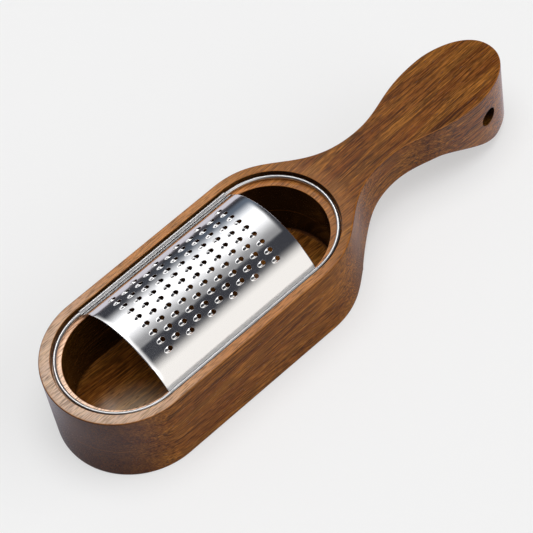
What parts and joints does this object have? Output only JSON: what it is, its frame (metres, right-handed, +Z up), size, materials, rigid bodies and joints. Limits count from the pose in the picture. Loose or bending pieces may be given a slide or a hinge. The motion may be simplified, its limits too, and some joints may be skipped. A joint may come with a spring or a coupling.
{
  "type": "cheese grater",
  "caption": "Wooden box grater with a paddle handle; an arched steel rasp plate on a wire loop lifts out of its rabbet over a hollow that catches the cheese.",
  "frame": {"origin": "on the underside that the box stands on, at the middle of the whole length and width", "axes": "+X along the length towards the tip of the handle, +Y across the width, +Z up; the insert lifts out along +Z"},
  "size_m": [0.327, 0.09, 0.0698],
  "materials": {
    "wood_upper": "oiled walnut, warm mid-brown with dark pores",
    "wood_lower": "oiled walnut, a little paler and greyer than the upper board",
    "steel_wire": "bright drawn stainless wire",
    "steel_sheet": "polished stainless sheet with soft reflections"
  },
  "bodies": {
    "wooden_box": {"upper_board": "wood_upper", "base_board": "wood_lower", "handle_heel": "wood_lower"},
    "grater_insert": {"wire_loop": "steel_wire", "grater_plate": "steel_sheet"}
  },
  "joints": [
    {"name": "insert_lift", "type": "slide", "parent": "wooden_box", "child": "grater_insert", "axis": [0, 0, 1], "range_m": [0, 0.04]}
  ]
}
